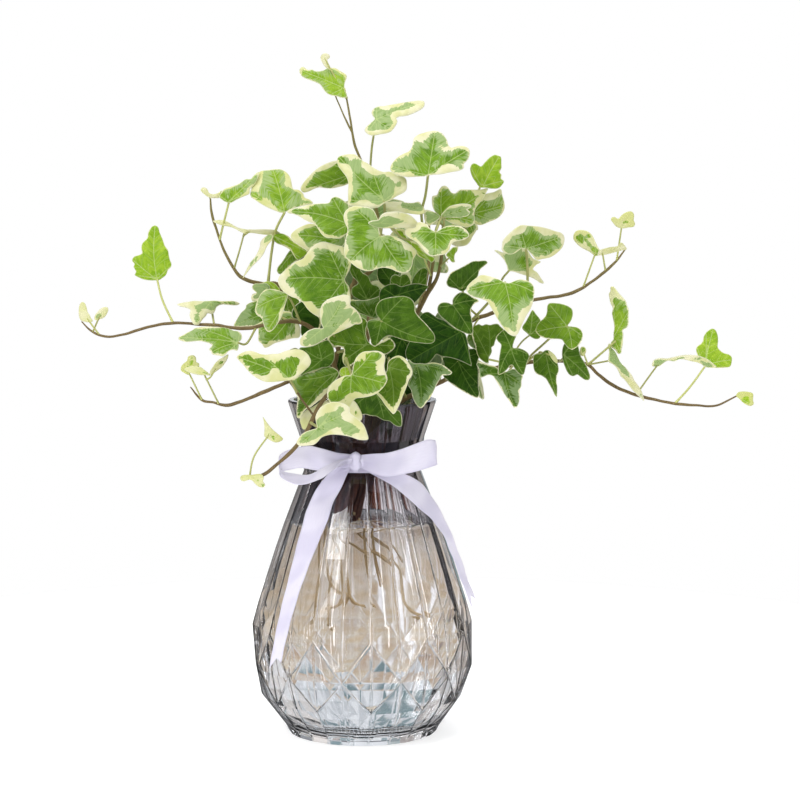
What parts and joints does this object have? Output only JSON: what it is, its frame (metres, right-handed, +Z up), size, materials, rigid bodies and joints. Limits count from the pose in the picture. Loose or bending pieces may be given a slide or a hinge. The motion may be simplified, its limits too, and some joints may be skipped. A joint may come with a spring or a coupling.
{
  "type": "potted ivy",
  "caption": "Variegated ivy growing in water in a smoky cut-glass vase with a wide mouth, a satin bow tied round the vase's neck",
  "frame": {"origin": "centre of the vase's flat foot, where it rests on a table", "axes": "Z up; -Y is the side with the bow; X to the viewer's right"},
  "size_m": [0.3179, 0.1548, 0.322],
  "materials": {
    "glass": "pressed cut glass, smoky grey at the rim and neck and clear at the foot",
    "water": "clear water",
    "root": "brown old stems with thin tan roots",
    "satin": "pale lilac satin ribbon",
    "stem": "olive-brown ivy stems and yellow-green petioles with small joined leaves",
    "leaf": "waxy variegated leaf, green and grey-green with cream margins"
  },
  "bodies": {
    "root": {"vine_long_left": "stem", "vine_upper_left": "stem", "vine_low_left": "stem", "vine_bottom_left": "stem", "vine_top": "stem", "vine_centre_right": "stem", "vine_upper_right": "stem", "vine_low_right": "stem", "vine_back_left": "stem", "vine_back_right": "stem", "vine_back_centre": "stem", "leaf_01": "leaf", "leaf_03": "leaf", "leaf_04": "leaf", "leaf_05": "leaf", "leaf_06": "leaf", "leaf_07": "leaf", "leaf_10": "leaf", "leaf_13": "leaf", "leaf_14": "leaf", "leaf_16": "leaf", "leaf_18": "leaf", "leaf_19": "leaf", "leaf_20": "leaf", "leaf_21": "leaf", "leaf_22": "leaf", "leaf_24": "leaf", "leaf_25": "leaf", "leaf_26": "leaf", "leaf_29": "leaf", "leaf_33": "leaf", "leaf_34": "leaf", "leaf_34b": "leaf", "leaf_35": "leaf", "leaf_36": "leaf", "leaf_37": "leaf", "leaf_38": "leaf", "leaf_39": "leaf", "leaf_40": "leaf", "leaf_41": "leaf", "leaf_42": "leaf", "leaf_44": "leaf", "leaf_46": "leaf", "leaf_52": "leaf", "leaf_61": "leaf", "leaf_62": "leaf", "leaf_63": "leaf", "leaf_72": "leaf", "leaf_b1": "leaf", "leaf_b4": "leaf", "leaf_b9": "leaf", "ribbon_band": "satin", "ribbon_knot": "satin", "ribbon_loop_left": "satin", "ribbon_loop_right": "satin", "ribbon_tail_left": "satin", "ribbon_tail_right": "satin", "glass_vase": "glass", "water": "water", "roots": "root"}
  },
  "joints": []
}
